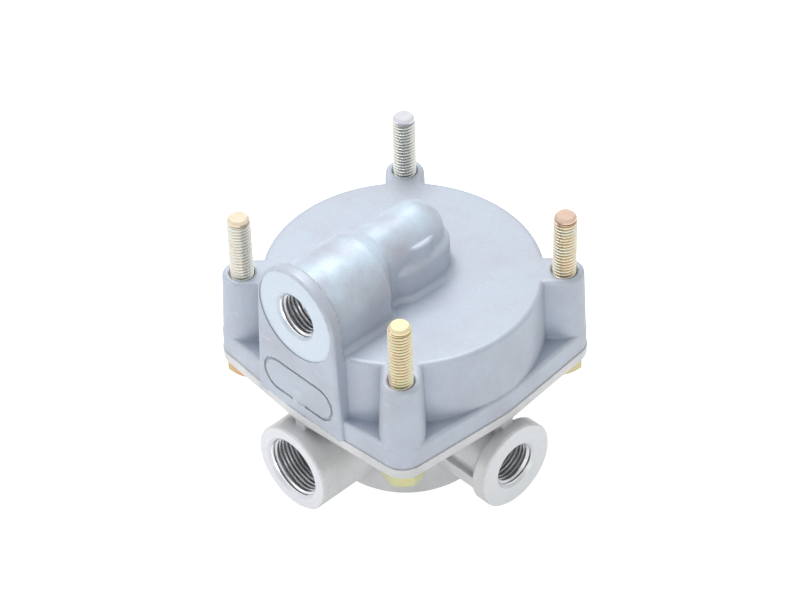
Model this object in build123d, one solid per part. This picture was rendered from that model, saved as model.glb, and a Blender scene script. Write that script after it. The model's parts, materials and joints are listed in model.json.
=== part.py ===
from build123d import *
from math import degrees, hypot, radians, sqrt, tan
import os

os.makedirs("parts", exist_ok=True)

# Heights, all measured up from the exhaust face that the valve stands on
base_height = 39.9
lower_flange_thickness = 4.0
cover_height = 32.5
cover_flange_thickness = 8.4
cover_roof = 5.0

# Flange outline and the bell of the cover
flange_radius = 49.0
flange_corner_radius = 8.0
lower_flange_margin = 0.3
bell_top_radius = 47.3
bell_foot_radius = 48.7
casting_edge = 1.6
flange_edge = 1.2

# Cover bolts, which pass through both flanges and stand out above as studs
bolt_spacing = 76.0
bolt_radius = 4.0
bolt_shank_radius = 3.6
bolt_length = 60.0
bolt_tip_chamfer = 0.9
bolt_head_width = 13.0
bolt_head_height = 5.3
bolt_head_chamfer = 0.1
bolt_head_crown_angle = 30.0
bolt_hole_clearance = 0.2
bolt_boss_top_radius = 6.7
bolt_boss_taper = 2.5
boss_web_depth = 13.5
bolt_hole_chamfer = 0.7
bolt_head_turns = (10, 40, 45, 15)

# Control port on top: a flat upright plate, the cast channel behind it and its passage
control_axis_rise = 9.9
control_face = 48.9
control_thread_radius = 8.0
control_thread_depth = 14.0
control_passage_radius = 4.5
plate_radius = 18.0
plate_foot_half_width = 20.2
plate_thickness = 4.2
spot_face_radius = 16.7
spot_face_depth = 0.35
channel_radius = 15.7
channel_end = -20.5
channel_slope = 5.0
finger_radius = 10.2
finger_rise = 14.6
finger_end = 5.0
ledge_front = -5.0
ledge_back = 4.5
ledge_radius = 12.6
ledge_height = 13.5
ledge_round = 3.6
pad_radius = 9.2
pad_height = 18.6
pad_place = (2.4, -0.6)
pad_round = 0.8
channel_crease = 0.8
channel_foot_radius = 2.0
groove_rise_below_top = 21.4
groove_half_length = 16.7
groove_half_height = 6.9
groove_width = 1.1
groove_depth = 0.6

# Lower housing, its supply port at the front and a delivery port at each side
body_radius = 29.3
port_axis_z = 21.6
port_chamfer = 0.9
supply_face = 54.0
supply_boss_radius = 16.0
supply_thread_radius = 11.0
supply_thread_depth = 15.0
supply_passage_radius = 8.0
delivery_face = 52.9
delivery_disc_radius = 15.9
delivery_disc_thickness = 5.5
delivery_neck_radius = 14.4
delivery_neck_upper_radius = 12.3
delivery_thread_radius = 8.0
delivery_thread_depth = 14.0
delivery_passage_radius = 7.0
port_rib_width = 4.4
machined_edge = 0.5

# Chambers of the lower housing
guide_bore_radius = 21.0
guide_bore_depth = 13.3
supply_chamber_radius = 17.0
seat_floor_z = 31.0
seat_floor_thickness = 3.5
seat_bore_radius = 11.0
seat_lip_radius = 12.4
seat_lip_height = 1.35
bowl_radius = 25.8
pocket_inner = 20.2
pocket_outer = 26.0
pocket_half_width = 9.5
pocket_corner = 1.45
pocket_floor_z = 15.2
spigot_height = 2.5
spigot_wall = 4.8
face_groove_inner = 43.6
face_groove_width = 2.9
face_groove_depth = 2.0

# Relay piston
piston_bore_radius = 42.0
piston_clearance = 0.08
piston_lead_in = 1.0
piston_skirt_height = 14.0
piston_skirt_wall = 7.0
piston_crown = 4.6
piston_groove_width = 4.2
piston_groove_depth = 3.3
piston_down_travel = 2.5
piston_up_travel = 3.0
stop_gap = 0.3
stop_ring_radius = 30.0
stop_ring_width = 3.0
stop_slot_width = 15.0
stem_radius = 8.9
stem_bore_radius = 6.2
stem_bore_top = 20.0
stem_wing_radius = 10.92
stem_wing_width = 2.0
stem_wing_count = 4
crown_rib_width = 2.4
crown_rib_drop = 6.0
crown_rib_count = 8

# Double seat valve and its guide
tube_radius = 9.0
tube_bore_radius = 6.5
tube_length = 17.1
valve_head_radius = 14.4
valve_head_thickness = 1.8
rubber_thickness = 2.0
rubber_radius = 13.5
seat_gap = 0.03
guide_thickness = 5.5
guide_fit = 0.08
guide_tube_fit = 0.06
guide_collar_radius = 12.3
guide_collar_height = 5.7
guide_groove_width = 2.6
guide_groove_depth = 1.9
lip_ring_radius = 11.1
lip_ring_height = 2.6
lip_ring_throat = 1.2
lip_retainer_height = 1.0
lip_retainer_bore = 9.4
wiper_groove_width = 2.0
wiper_groove_depth = 1.6
ring_play = 0.03
spring_washer_thickness = 0.8
spring_washer_radius = 16.0
spring_radius = 13.6
spring_wire_radius = 0.8
spring_turns = 4.0

# Exhaust outlet: retaining ring, grid and rubber flap
ring_z = 2.1
ring_thickness = 1.5
ring_inner_radius = 19.3
ring_groove_depth = 1.2
ring_gap_angle = 32.0
ring_lug_radius = 2.4
ring_lug_hole = 1.0
grid_wall = 2.4
grid_ledge = 2.0
grid_ledge_thickness = 1.6
grid_arm_width = 3.2
grid_arm_count = 4
grid_hub_radius = 4.2
grid_step = 2.0
flap_radius = 17.7
flap_thickness = 1.0
flap_washer_radius = 4.6
flap_washer_thickness = 0.7
flap_screw_radius = 1.5
flap_screw_head_radius = 2.9
flap_screw_head_height = 1.4
flap_screw_slot = 0.7
pin_fit = 0.05

# Levels and places that follow from the sizes above
parting_z = base_height + lower_flange_thickness
cover_top_z = parting_z + cover_height
chamber_roof_z = cover_top_z - cover_roof
control_axis_z = cover_top_z + control_axis_rise
spigot_top_z = parting_z + spigot_height
seat_z = seat_floor_z - seat_lip_height
rubber_top_z = seat_z - seat_gap
head_top_z = rubber_top_z - rubber_thickness
head_bottom_z = head_top_z - valve_head_thickness
guide_z = guide_bore_depth - guide_thickness
collar_top_z = guide_bore_depth + guide_collar_height
grid_z = ring_z + ring_thickness
grid_height = guide_z - grid_z
grid_seat_z = grid_z + grid_step
piston_z = spigot_top_z + piston_down_travel + stop_gap
piston_crown_z = piston_z + piston_skirt_height
piston_radius = piston_bore_radius - piston_clearance
bolt_places = [(x, y) for x in (-bolt_spacing / 2, bolt_spacing / 2)
               for y in (-bolt_spacing / 2, bolt_spacing / 2)]


def ring(outer, inner, bottom, height):
    """A plain ring about the main axis."""
    return Pos(0, 0, bottom) * extrude(Circle(outer) - Circle(inner), height)


def disc(radius, bottom, height):
    """A plain disc about the main axis."""
    return Pos(0, 0, bottom) * extrude(Circle(radius), height)


def o_ring(outer, inner, middle_z):
    """A round-section ring that fits between two radii."""
    section = (outer - inner) / 2
    return Pos(0, 0, middle_z) * Torus(inner + section, section)


def face_ring():
    """Round-section ring lying in the groove between the two flanges."""
    section = face_groove_depth / 2 - ring_play
    middle = face_groove_inner + face_groove_width / 2
    return Pos(0, 0, parting_z - face_groove_depth / 2) * Torus(middle, section)


def flange(margin, bottom, height):
    """Plate whose outline wraps the round body and the four bolt corners."""
    circles = Circle(flange_radius + margin).edges()
    for x, y in bolt_places:
        circles += (Pos(x, y) * Circle(flange_corner_radius + margin)).edges()
    return Pos(0, 0, bottom) * extrude(make_hull(circles), height)


def bolt_holes(bottom, top):
    """Clearance holes for the four cover bolts."""
    hole = Circle(bolt_radius + bolt_hole_clearance)
    return Part() + [Pos(x, y, bottom) * extrude(hole, top - bottom) for x, y in bolt_places]


def facing(direction, distance, height):
    """Plane at a port's mouth, looking out of it, with the drawing's up as +Z."""
    x, y = direction
    return Plane(origin=(x * distance, y * distance, height), x_dir=(-y, x, 0), z_dir=(x, y, 0))


def tapped_port(direction, face, height, radius, depth, passage, inner_end):
    """Tool for a port: chamfered mouth, threaded length and the passage behind it."""
    mouth = facing(direction, face, height)
    tool = mouth * extrude(Circle(radius), -depth)
    tool += mouth * extrude(Circle(passage), -(face - inner_end))
    tool += mouth * Pos(0, 0, -port_chamfer / 2) * Cone(radius, radius + port_chamfer, port_chamfer)
    drill_tip = radius - passage
    return tool + mouth * Pos(0, 0, -depth - drill_tip / 2) * Cone(passage, radius, drill_tip)


def control_plate():
    """Upright plate that carries the control port, rounded over the port."""
    rise = control_axis_z - parting_z
    body = Circle(plate_radius) + Polygon(
        (-plate_radius, 0), (-plate_foot_half_width, -rise),
        (plate_foot_half_width, -rise), (plate_radius, 0), align=None)
    mouth = facing((0, -1), control_face, control_axis_z)
    plate = mouth * extrude(body, -plate_thickness)
    rim = plate.edges().filter_by(GeomType.CIRCLE).group_by(Axis.Y)[0]
    plate = fillet(rim, flange_edge)
    foot = body & Pos(0, -control_axis_rise - rise / 2) * Rectangle(
        2 * plate_foot_half_width, rise)
    bell_flat = bell_top_radius - casting_edge
    foot_back = sqrt(bell_flat ** 2 - plate_foot_half_width ** 2) - casting_edge
    return plate + mouth * Pos(0, 0, -plate_thickness / 2) * extrude(
        foot, foot_back + plate_thickness / 2 - control_face)


def arch(radius, rise, place):
    """Upright arch across the channel: a half circle on straight sides."""
    foot = -rise - cover_roof / 2
    outline = Polyline((radius, 0), (radius, foot), (-radius, foot), (-radius, 0))
    outline += ThreePointArc((-radius, 0), (0, radius), (radius, 0))
    return facing((0, -1), -place, cover_top_z + rise) * make_face(outline)


def control_channel():
    """Cast channel from the plate to a domed knob in the middle, on a ledge with a round pad."""
    wide = arch(channel_radius, control_axis_rise, channel_end)
    narrow = arch(finger_radius, finger_rise, channel_end + channel_slope)
    channel = extrude(wide, control_face + channel_end - plate_thickness / 2)
    channel += loft([wide, narrow])
    channel += extrude(narrow, channel_end + channel_slope - finger_end)
    foot_z = cover_top_z - cover_roof / 2
    channel += Pos(0, finger_end) * disc(finger_radius, foot_z, cover_roof / 2 + finger_rise)
    channel += Pos(0, finger_end, cover_top_z + finger_rise) * Sphere(finger_radius)
    circle = Circle(ledge_radius)
    outline = make_hull((Pos(0, ledge_front) * circle).edges()
                        + (Pos(0, ledge_back) * circle).edges())
    ledge = Pos(0, 0, foot_z) * extrude(outline, cover_roof / 2 + ledge_height)
    ledge = fillet(ledge.edges().group_by(Axis.Z)[-1], ledge_round)
    both = channel + ledge
    channel = fillet(new_edges(channel, ledge, combined=both), channel_crease)
    pad = Pos(*pad_place) * disc(pad_radius, foot_z, cover_roof / 2 + pad_height)
    return channel + fillet(pad.edges().group_by(Axis.Z)[-1], pad_round)


def channel_foot(cover):
    """Edges where the channel meets the flat top of the cover."""
    near = cover_roof / 100
    level = cover.edges().filter_by_position(Axis.Z, cover_top_z - near, cover_top_z + near)
    reach = bell_top_radius - 2 * casting_edge
    return [edge for edge in level if hypot(edge.center().X, edge.center().Y) < reach]


def bolt_boss(x, y):
    """Drafted boss round a bolt, joined to the bell by a web of its own width."""
    reach = hypot(x, y)
    web_end = bell_top_radius - boss_web_depth
    inner = (x * web_end / reach, y * web_end / reach)
    circles = (Pos(x, y) * Circle(bolt_boss_top_radius)).edges()
    circles += (Pos(*inner) * Circle(bolt_boss_top_radius)).edges()
    outline = Pos(0, 0, cover_top_z) * make_hull(circles)
    drop = cover_height - cover_flange_thickness / 2
    boss = extrude(outline, -drop, taper=-bolt_boss_taper)
    return fillet(boss.edges().group_by(Axis.Z)[-1], casting_edge)


def upper_housing():
    """Cover: bell with the piston bore, bolt bosses, flange and the control port."""
    bell = Pos(0, 0, parting_z + cover_height / 2) * Cone(
        bell_foot_radius, bell_top_radius, cover_height)
    bell = fillet(bell.edges().group_by(Axis.Z)[-1], casting_edge)
    cover = bell + control_channel() + control_plate()
    cover = fillet(channel_foot(cover), channel_foot_radius)
    for x, y in bolt_places:
        cover += bolt_boss(x, y)
    plate = flange(0, parting_z, cover_flange_thickness)
    cover += fillet(plate.edges().group_by(Axis.Z)[-1], flange_edge)
    mouth = facing((0, -1), control_face, control_axis_z)
    cover -= mouth * extrude(Circle(spot_face_radius), -spot_face_depth)
    groove_z = cover_top_z - groove_rise_below_top
    outer = SlotOverall(2 * groove_half_length, 2 * groove_half_height)
    inner = SlotOverall(2 * (groove_half_length - groove_width),
                        2 * (groove_half_height - groove_width))
    cover -= facing((0, -1), control_face, groove_z) * extrude(outer - inner, -groove_depth)
    cover -= disc(piston_bore_radius, parting_z, chamber_roof_z - parting_z)
    cover -= Pos(0, 0, parting_z + piston_lead_in / 2) * Cone(
        piston_bore_radius + piston_lead_in, piston_bore_radius, piston_lead_in)
    cover -= tapped_port((0, -1), control_face - spot_face_depth, control_axis_z,
                         control_thread_radius, control_thread_depth,
                         control_passage_radius, -finger_end)
    feed = extrude(Circle(control_passage_radius), control_axis_z - chamber_roof_z)
    cover -= Pos(0, finger_end, chamber_roof_z) * feed
    cover -= bolt_holes(parting_z, cover_top_z)
    rim = Cone(bolt_radius + bolt_hole_clearance,
               bolt_radius + bolt_hole_clearance + bolt_hole_chamfer, bolt_hole_chamfer)
    for x, y in bolt_places:
        cover -= Pos(x, y, cover_top_z - bolt_hole_chamfer / 2) * rim
    return cover


def delivery_boss(side):
    """Side port: machined disc on a neck that is wider below the port's axis."""
    mouth = facing((side, 0), delivery_face, port_axis_z)
    boss = mouth * extrude(Circle(delivery_disc_radius), -delivery_disc_thickness)
    boss = chamfer(boss.edges(), machined_edge)
    half = Pos(0, -delivery_neck_radius / 2) * Rectangle(
        2 * delivery_neck_radius, delivery_neck_radius)
    neck = Circle(delivery_neck_upper_radius) + (Circle(delivery_neck_radius) & half)
    return boss + mouth * extrude(neck, -(delivery_face - body_radius / 2))


def port_rib(direction, face):
    """Upright rib from a port boss to the flange above it."""
    depth = base_height - port_axis_z
    side = facing(direction, face, port_axis_z + depth / 2)
    return side * extrude(Rectangle(port_rib_width, depth), -(face - body_radius / 2))


def lower_housing():
    """Body with the ports, the valve chamber, the inlet seat and the lower flange."""
    body = disc(body_radius, 0, base_height)
    body = fillet(body.edges().group_by(Axis.Z)[0], casting_edge)
    plate = flange(lower_flange_margin, base_height, lower_flange_thickness)
    plate = fillet(plate.edges().group_by(Axis.Z)[0], machined_edge)
    body += plate
    supply = facing((0, -1), supply_face, port_axis_z) * extrude(
        Circle(supply_boss_radius), -(supply_face - body_radius / 2))
    body += chamfer(supply.edges().sort_by(Axis.Y)[0], machined_edge)
    body += port_rib((0, -1), flange_radius)
    for side in (-1, 1):
        body += delivery_boss(side)
        body += port_rib((side, 0), flange_radius)
    spigot_radius = piston_bore_radius - piston_clearance
    body += ring(spigot_radius, spigot_radius - spigot_wall, parting_z, spigot_height)
    body -= disc(guide_bore_radius, 0, guide_bore_depth)
    body -= ring(guide_bore_radius + ring_groove_depth, guide_bore_radius / 2,
                 ring_z, ring_thickness + 2 * ring_play)
    body -= disc(supply_chamber_radius, 0, seat_floor_z)
    body -= disc(seat_bore_radius, 0, parting_z)
    bowl_z = seat_floor_z + seat_floor_thickness
    body -= disc(bowl_radius, bowl_z, parting_z)
    body += ring(seat_lip_radius, seat_bore_radius, seat_z, seat_lip_height)
    body -= ring(face_groove_inner + face_groove_width, face_groove_inner,
                 parting_z - face_groove_depth, face_groove_depth)
    body -= tapped_port((0, -1), supply_face, port_axis_z, supply_thread_radius,
                        supply_thread_depth, supply_passage_radius,
                        supply_chamber_radius / 2)
    pocket_length = pocket_outer - pocket_inner
    pocket = extrude(Rectangle(pocket_length, 2 * pocket_half_width), bowl_z - pocket_floor_z)
    pocket = fillet(pocket.edges().filter_by(Axis.Z), pocket_corner)
    for side in (-1, 1):
        body -= tapped_port((side, 0), delivery_face, port_axis_z, delivery_thread_radius,
                            delivery_thread_depth, delivery_passage_radius,
                            pocket_inner + pocket_length / 2)
        body -= Pos(side * (pocket_inner + pocket_length / 2), 0, pocket_floor_z) * pocket
    return body - bolt_holes(base_height, parting_z)


def relay_piston():
    """Piston: grooved skirt, ribbed crown, stop ring on top and the seat stem below."""
    stem_z = rubber_top_z + seat_gap
    crown_bottom_z = piston_crown_z - piston_crown
    piston = disc(piston_radius, piston_z, piston_skirt_height)
    piston -= disc(piston_radius - piston_skirt_wall, piston_z,
                   piston_skirt_height - piston_crown)
    piston += disc(stem_radius, stem_z, crown_bottom_z - stem_z)
    rib_length = piston_radius - piston_skirt_wall
    rib = Pos(rib_length / 2, 0, crown_bottom_z - crown_rib_drop) * extrude(
        Rectangle(rib_length, crown_rib_width), crown_rib_drop)
    for i in range(crown_rib_count):
        piston += Rot(0, 0, 360 / crown_rib_count * i) * rib
    wing_length = crown_bottom_z - seat_floor_z
    wing = Pos(stem_wing_radius / 2, 0, seat_floor_z) * extrude(
        Rectangle(stem_wing_radius, stem_wing_width), wing_length)
    for i in range(stem_wing_count):
        piston += Rot(0, 0, 180 / stem_wing_count + 360 / stem_wing_count * i) * wing & disc(
            stem_wing_radius, seat_floor_z, wing_length)
    piston -= disc(stem_bore_radius, stem_z, stem_bore_top)
    groove_z = piston_z + (piston_skirt_height - piston_groove_width) / 2
    piston -= ring(piston_bore_radius, piston_radius - piston_groove_depth,
                   groove_z, piston_groove_width)
    stop_z = chamber_roof_z - piston_up_travel - stop_gap
    piston += ring(stop_ring_radius, stop_ring_radius - stop_ring_width,
                   piston_crown_z, stop_z - piston_crown_z)
    slot = extrude(Rectangle(3 * stop_ring_radius, stop_slot_width),
                   stop_z - piston_crown_z)
    for angle in (0, 90):
        piston -= Pos(0, 0, piston_crown_z) * Rot(0, 0, angle) * slot
    return piston


def valve_tube():
    """Valve carrier: tube with a flanged head that holds the rubber."""
    bottom_z = head_top_z - tube_length
    tube = disc(tube_radius, bottom_z, tube_length)
    tube += disc(valve_head_radius, head_bottom_z, valve_head_thickness)
    tube += ring(valve_head_radius, rubber_radius, head_top_z, rubber_thickness / 2)
    return tube - disc(tube_bore_radius, bottom_z, 2 * tube_length)


def valve_guide():
    """Guide plate with a collar for the tube and grooves for its three rings."""
    guide = disc(guide_bore_radius - guide_fit, guide_z, guide_thickness)
    guide += disc(guide_collar_radius, guide_z, collar_top_z - guide_z)
    guide -= disc(tube_radius + guide_tube_fit, guide_z, collar_top_z)
    guide -= disc(lip_ring_radius, collar_top_z - lip_ring_height - lip_retainer_height,
                  lip_ring_height + lip_retainer_height)
    groove_z = guide_z + (guide_thickness - guide_groove_width) / 2
    guide -= ring(guide_bore_radius, guide_bore_radius - guide_fit - guide_groove_depth,
                  groove_z, guide_groove_width)
    wiper_z = guide_z + (guide_thickness - wiper_groove_width) / 2
    return guide - ring(tube_radius + guide_tube_fit + wiper_groove_depth, tube_radius / 2,
                        wiper_z, wiper_groove_width)


def tube_lip_ring():
    """U-section seal ring whose open side faces the supply pressure above."""
    bottom_z = collar_top_z - lip_retainer_height - lip_ring_height
    inner = tube_radius + guide_tube_fit
    seal = ring(lip_ring_radius, inner, bottom_z, lip_ring_height)
    lip = (lip_ring_radius - inner) / 4
    return seal - ring(lip_ring_radius - lip, inner + lip,
                       bottom_z + lip_ring_height - lip_ring_throat, lip_ring_throat)


def valve_spring():
    """Compression spring with flat ground ends, between its washer and the valve head."""
    bottom_z = guide_bore_depth + spring_washer_thickness
    height = head_bottom_z - bottom_z
    path = Helix(height / spring_turns, height, spring_radius)
    section = Plane(origin=path @ 0, z_dir=path % 0) * Circle(spring_wire_radius)
    coil = sweep(section, path, is_frenet=True)
    room = disc(2 * spring_radius, bottom_z, height)
    return Pos(0, 0, bottom_z) * coil & room


def retaining_ring():
    """Inner retaining ring with a gap and two drilled lugs for pliers."""
    outer = guide_bore_radius + ring_groove_depth - pin_fit
    plan = Circle(outer) - Circle(ring_inner_radius)
    reach = 2 * outer
    gap = Polygon((0, 0), (reach, -reach * tan(radians(ring_gap_angle / 2))),
                  (reach, reach * tan(radians(ring_gap_angle / 2))), align=None)
    plan -= gap
    lug_turn = ring_gap_angle / 2 + degrees(ring_lug_radius / ring_inner_radius)
    for side in (-1, 1):
        place = Rot(0, 0, side * lug_turn) * Pos(ring_inner_radius, 0)
        plan += place * Circle(ring_lug_radius)
        plan -= place * Circle(ring_lug_hole)
    return Pos(0, 0, ring_z + ring_play) * extrude(plan, ring_thickness)


def exhaust_grid():
    """Moulded ring with an inner ledge, arms and the hub that carries the flap."""
    outer = guide_bore_radius - guide_fit
    inner = outer - grid_wall
    grid = ring(outer, inner, grid_z + 2 * ring_play, grid_height - 2 * ring_play)
    grid += ring(inner + grid_wall / 2, inner - grid_ledge, grid_seat_z, grid_ledge_thickness)
    grid += disc(grid_hub_radius, grid_seat_z, grid_ledge_thickness)
    arm = Pos(inner / 2, 0, grid_seat_z) * extrude(
        Rectangle(inner, grid_arm_width), grid_ledge_thickness)
    for i in range(grid_arm_count):
        grid += Rot(0, 0, 180 / grid_arm_count + 360 / grid_arm_count * i) * arm
    return grid - disc(flap_screw_radius + pin_fit, grid_seat_z, grid_ledge_thickness)


def flap_screw():
    """Slotted pan-head screw that clamps the flap and its washer to the grid's hub."""
    washer_z = grid_seat_z - flap_thickness - flap_washer_thickness
    head = disc(flap_screw_head_radius, washer_z - flap_screw_head_height,
                flap_screw_head_height)
    head = fillet(head.edges().group_by(Axis.Z)[0], flap_screw_head_height / 3)
    slot = Pos(0, 0, washer_z - flap_screw_head_height) * Box(
        3 * flap_screw_head_radius, flap_screw_slot, flap_screw_slot,
        align=(Align.CENTER, Align.CENTER, Align.MIN))
    length = grid_seat_z + grid_ledge_thickness - washer_z
    return head - slot + disc(flap_screw_radius, washer_z, length)


def cover_bolts():
    """Four hex bolts, heads under the lower flange and tips standing above the cover."""
    thread = disc(bolt_radius, cover_top_z, base_height + bolt_length - cover_top_z)
    thread = chamfer(thread.edges().group_by(Axis.Z)[-1], bolt_tip_chamfer)
    shank = thread + disc(bolt_shank_radius, base_height, cover_top_z - base_height)
    hexagon = RegularPolygon(bolt_head_width / 2, 6, major_radius=False)
    head = Pos(0, 0, base_height - bolt_head_height) * extrude(hexagon, bolt_head_height)
    crown_radius = bolt_head_width / 2 - bolt_head_chamfer
    crown = Pos(0, 0, base_height - bolt_head_height / 2) * Cone(
        crown_radius, crown_radius + bolt_head_height / tan(radians(bolt_head_crown_angle)),
        bolt_head_height)
    bolts = []
    for (x, y), turn in zip(bolt_places, bolt_head_turns):
        bolts.append(Pos(x, y) * (Rot(0, 0, turn) * (head & crown) + shank))
    return Compound(children=bolts)


pieces = {
    "upper_housing": upper_housing(),
    "lower_housing": lower_housing(),
    "housing_o_ring": face_ring(),
    "relay_piston": relay_piston(),
    "piston_o_ring": o_ring(piston_bore_radius - ring_play,
                            piston_radius - piston_groove_depth + ring_play,
                            piston_z + piston_skirt_height / 2),
    "valve_tube": valve_tube(),
    "valve_rubber": ring(rubber_radius, tube_bore_radius, head_top_z, rubber_thickness),
    "valve_spring": valve_spring(),
    "spring_washer": ring(spring_washer_radius, guide_collar_radius + pin_fit,
                          guide_bore_depth, spring_washer_thickness),
    "valve_guide": valve_guide(),
    "guide_o_ring": o_ring(guide_bore_radius - ring_play,
                           guide_bore_radius - guide_fit - guide_groove_depth + ring_play,
                           guide_z + guide_thickness / 2),
    "tube_lip_ring": tube_lip_ring(),
    "lip_ring_retainer": ring(lip_ring_radius, lip_retainer_bore,
                              collar_top_z - lip_retainer_height, lip_retainer_height),
    "tube_wiper_ring": o_ring(tube_radius + guide_tube_fit + wiper_groove_depth - ring_play,
                              tube_radius + ring_play, guide_z + guide_thickness / 2),
    "retaining_ring": retaining_ring(),
    "exhaust_grid": exhaust_grid(),
    "exhaust_flap": ring(flap_radius, flap_screw_radius + pin_fit,
                         grid_seat_z - flap_thickness, flap_thickness),
    "flap_washer": ring(flap_washer_radius, flap_screw_radius + pin_fit,
                        grid_seat_z - flap_thickness - flap_washer_thickness,
                        flap_washer_thickness),
    "flap_screw": flap_screw(),
    "cover_bolts": cover_bolts(),
}
for name, piece in pieces.items():
    export_step(piece, f"parts/{name}.step")
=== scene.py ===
import json
import math

import bpy
from mathutils import Euler, Matrix, Vector


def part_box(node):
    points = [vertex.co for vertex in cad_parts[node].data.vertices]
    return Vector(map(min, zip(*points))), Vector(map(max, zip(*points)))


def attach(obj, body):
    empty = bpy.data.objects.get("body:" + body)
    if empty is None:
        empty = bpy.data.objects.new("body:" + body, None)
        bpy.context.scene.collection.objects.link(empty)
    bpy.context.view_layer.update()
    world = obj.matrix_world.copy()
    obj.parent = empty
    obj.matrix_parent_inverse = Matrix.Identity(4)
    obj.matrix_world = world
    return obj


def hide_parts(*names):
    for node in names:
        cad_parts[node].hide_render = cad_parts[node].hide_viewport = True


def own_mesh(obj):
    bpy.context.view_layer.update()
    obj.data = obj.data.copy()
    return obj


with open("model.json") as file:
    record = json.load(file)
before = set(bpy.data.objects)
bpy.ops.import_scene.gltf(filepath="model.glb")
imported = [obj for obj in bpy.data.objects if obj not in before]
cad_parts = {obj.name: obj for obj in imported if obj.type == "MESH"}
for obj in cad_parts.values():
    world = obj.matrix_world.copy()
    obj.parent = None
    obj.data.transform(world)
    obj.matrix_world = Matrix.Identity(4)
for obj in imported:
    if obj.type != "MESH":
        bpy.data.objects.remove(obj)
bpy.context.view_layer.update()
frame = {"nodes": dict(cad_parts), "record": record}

# all lengths are in metres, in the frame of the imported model
mounts = {mount["name"]: mount for mount in frame["record"]["mounts"]}
print("frame loaded:", len(frame["nodes"]), "nodes")

photoCamera = {
    "place": (0.52824, -0.49943, 0.70030),
    "azimuth": 46.706,
    "elevation": 41.230,
    "roll": -1.5296,
    "lens": 129.31,
    "sensorWidth": 36.0,
    "clip": (0.05, 20.0),
}

studio = {
    "worldStrength": 0.36,
    "floorSize": 4.0,
    "floorWhite": 0.86,
    "floorGlow": 0.75,
    "aim": (0, 0, 0.05),
    # name: place, size, strength in watts
    "lamps": {
        "overheadSoftbox": ((-0.25, 0.10, 0.85), 0.55, 4.5),
        "leftSoftbox": ((-0.55, -0.85, 0.20), 0.60, 1.8),
        "rightCard": ((0.75, -0.50, 0.12), 0.60, 1.6),
    },
}


# selection and mesh helpers

def dropSelection():
    if bpy.context.object and bpy.context.object.mode != "OBJECT":
        bpy.ops.object.mode_set(mode="OBJECT")
    bpy.ops.object.select_all(action="DESELECT")


def takeObject(piece):
    dropSelection()
    piece.select_set(True)
    bpy.context.view_layer.objects.active = piece


def settle(piece):  # the place goes into the mesh, as in a CAD node
    takeObject(piece)
    bpy.ops.object.transform_apply(location=True, rotation=True, scale=True)


def smoothBy(piece, angle):
    takeObject(piece)
    bpy.ops.object.shade_smooth_by_angle(angle=math.radians(angle))


def useModifier(piece, name, kind, **values):
    takeObject(piece)
    modifier = piece.modifiers.new(name, kind)
    for key, value in values.items():
        setattr(modifier, key, value)
    bpy.ops.object.modifier_apply(modifier=name)


# shader helpers

def addNode(tree, kind, place, **values):
    node = tree.nodes.new(kind)
    node.location = place
    for key, value in values.items():
        if hasattr(node, key):
            setattr(node, key, value)
        else:
            node.inputs[key].default_value = value
    return node


def setInputs(node, values):
    for key, value in values.items():
        node.inputs[key].default_value = value


def newGroup(name, inputs, outputs):
    group = bpy.data.node_groups.new(name, "ShaderNodeTree")
    for socketName, kind, default in inputs:
        socket = group.interface.new_socket(socketName, in_out="INPUT", socket_type=kind)
        if default is not None:
            socket.default_value = default
    for socketName, kind in outputs:
        group.interface.new_socket(socketName, in_out="OUTPUT", socket_type=kind)
    start = group.nodes.new("NodeGroupInput")
    end = group.nodes.new("NodeGroupOutput")
    start.location, end.location = (-900, 0), (900, 0)
    return group, start, end


blastRipple = {"size": 420.0, "share": 1.6}  # slow waviness under the grain


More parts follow.
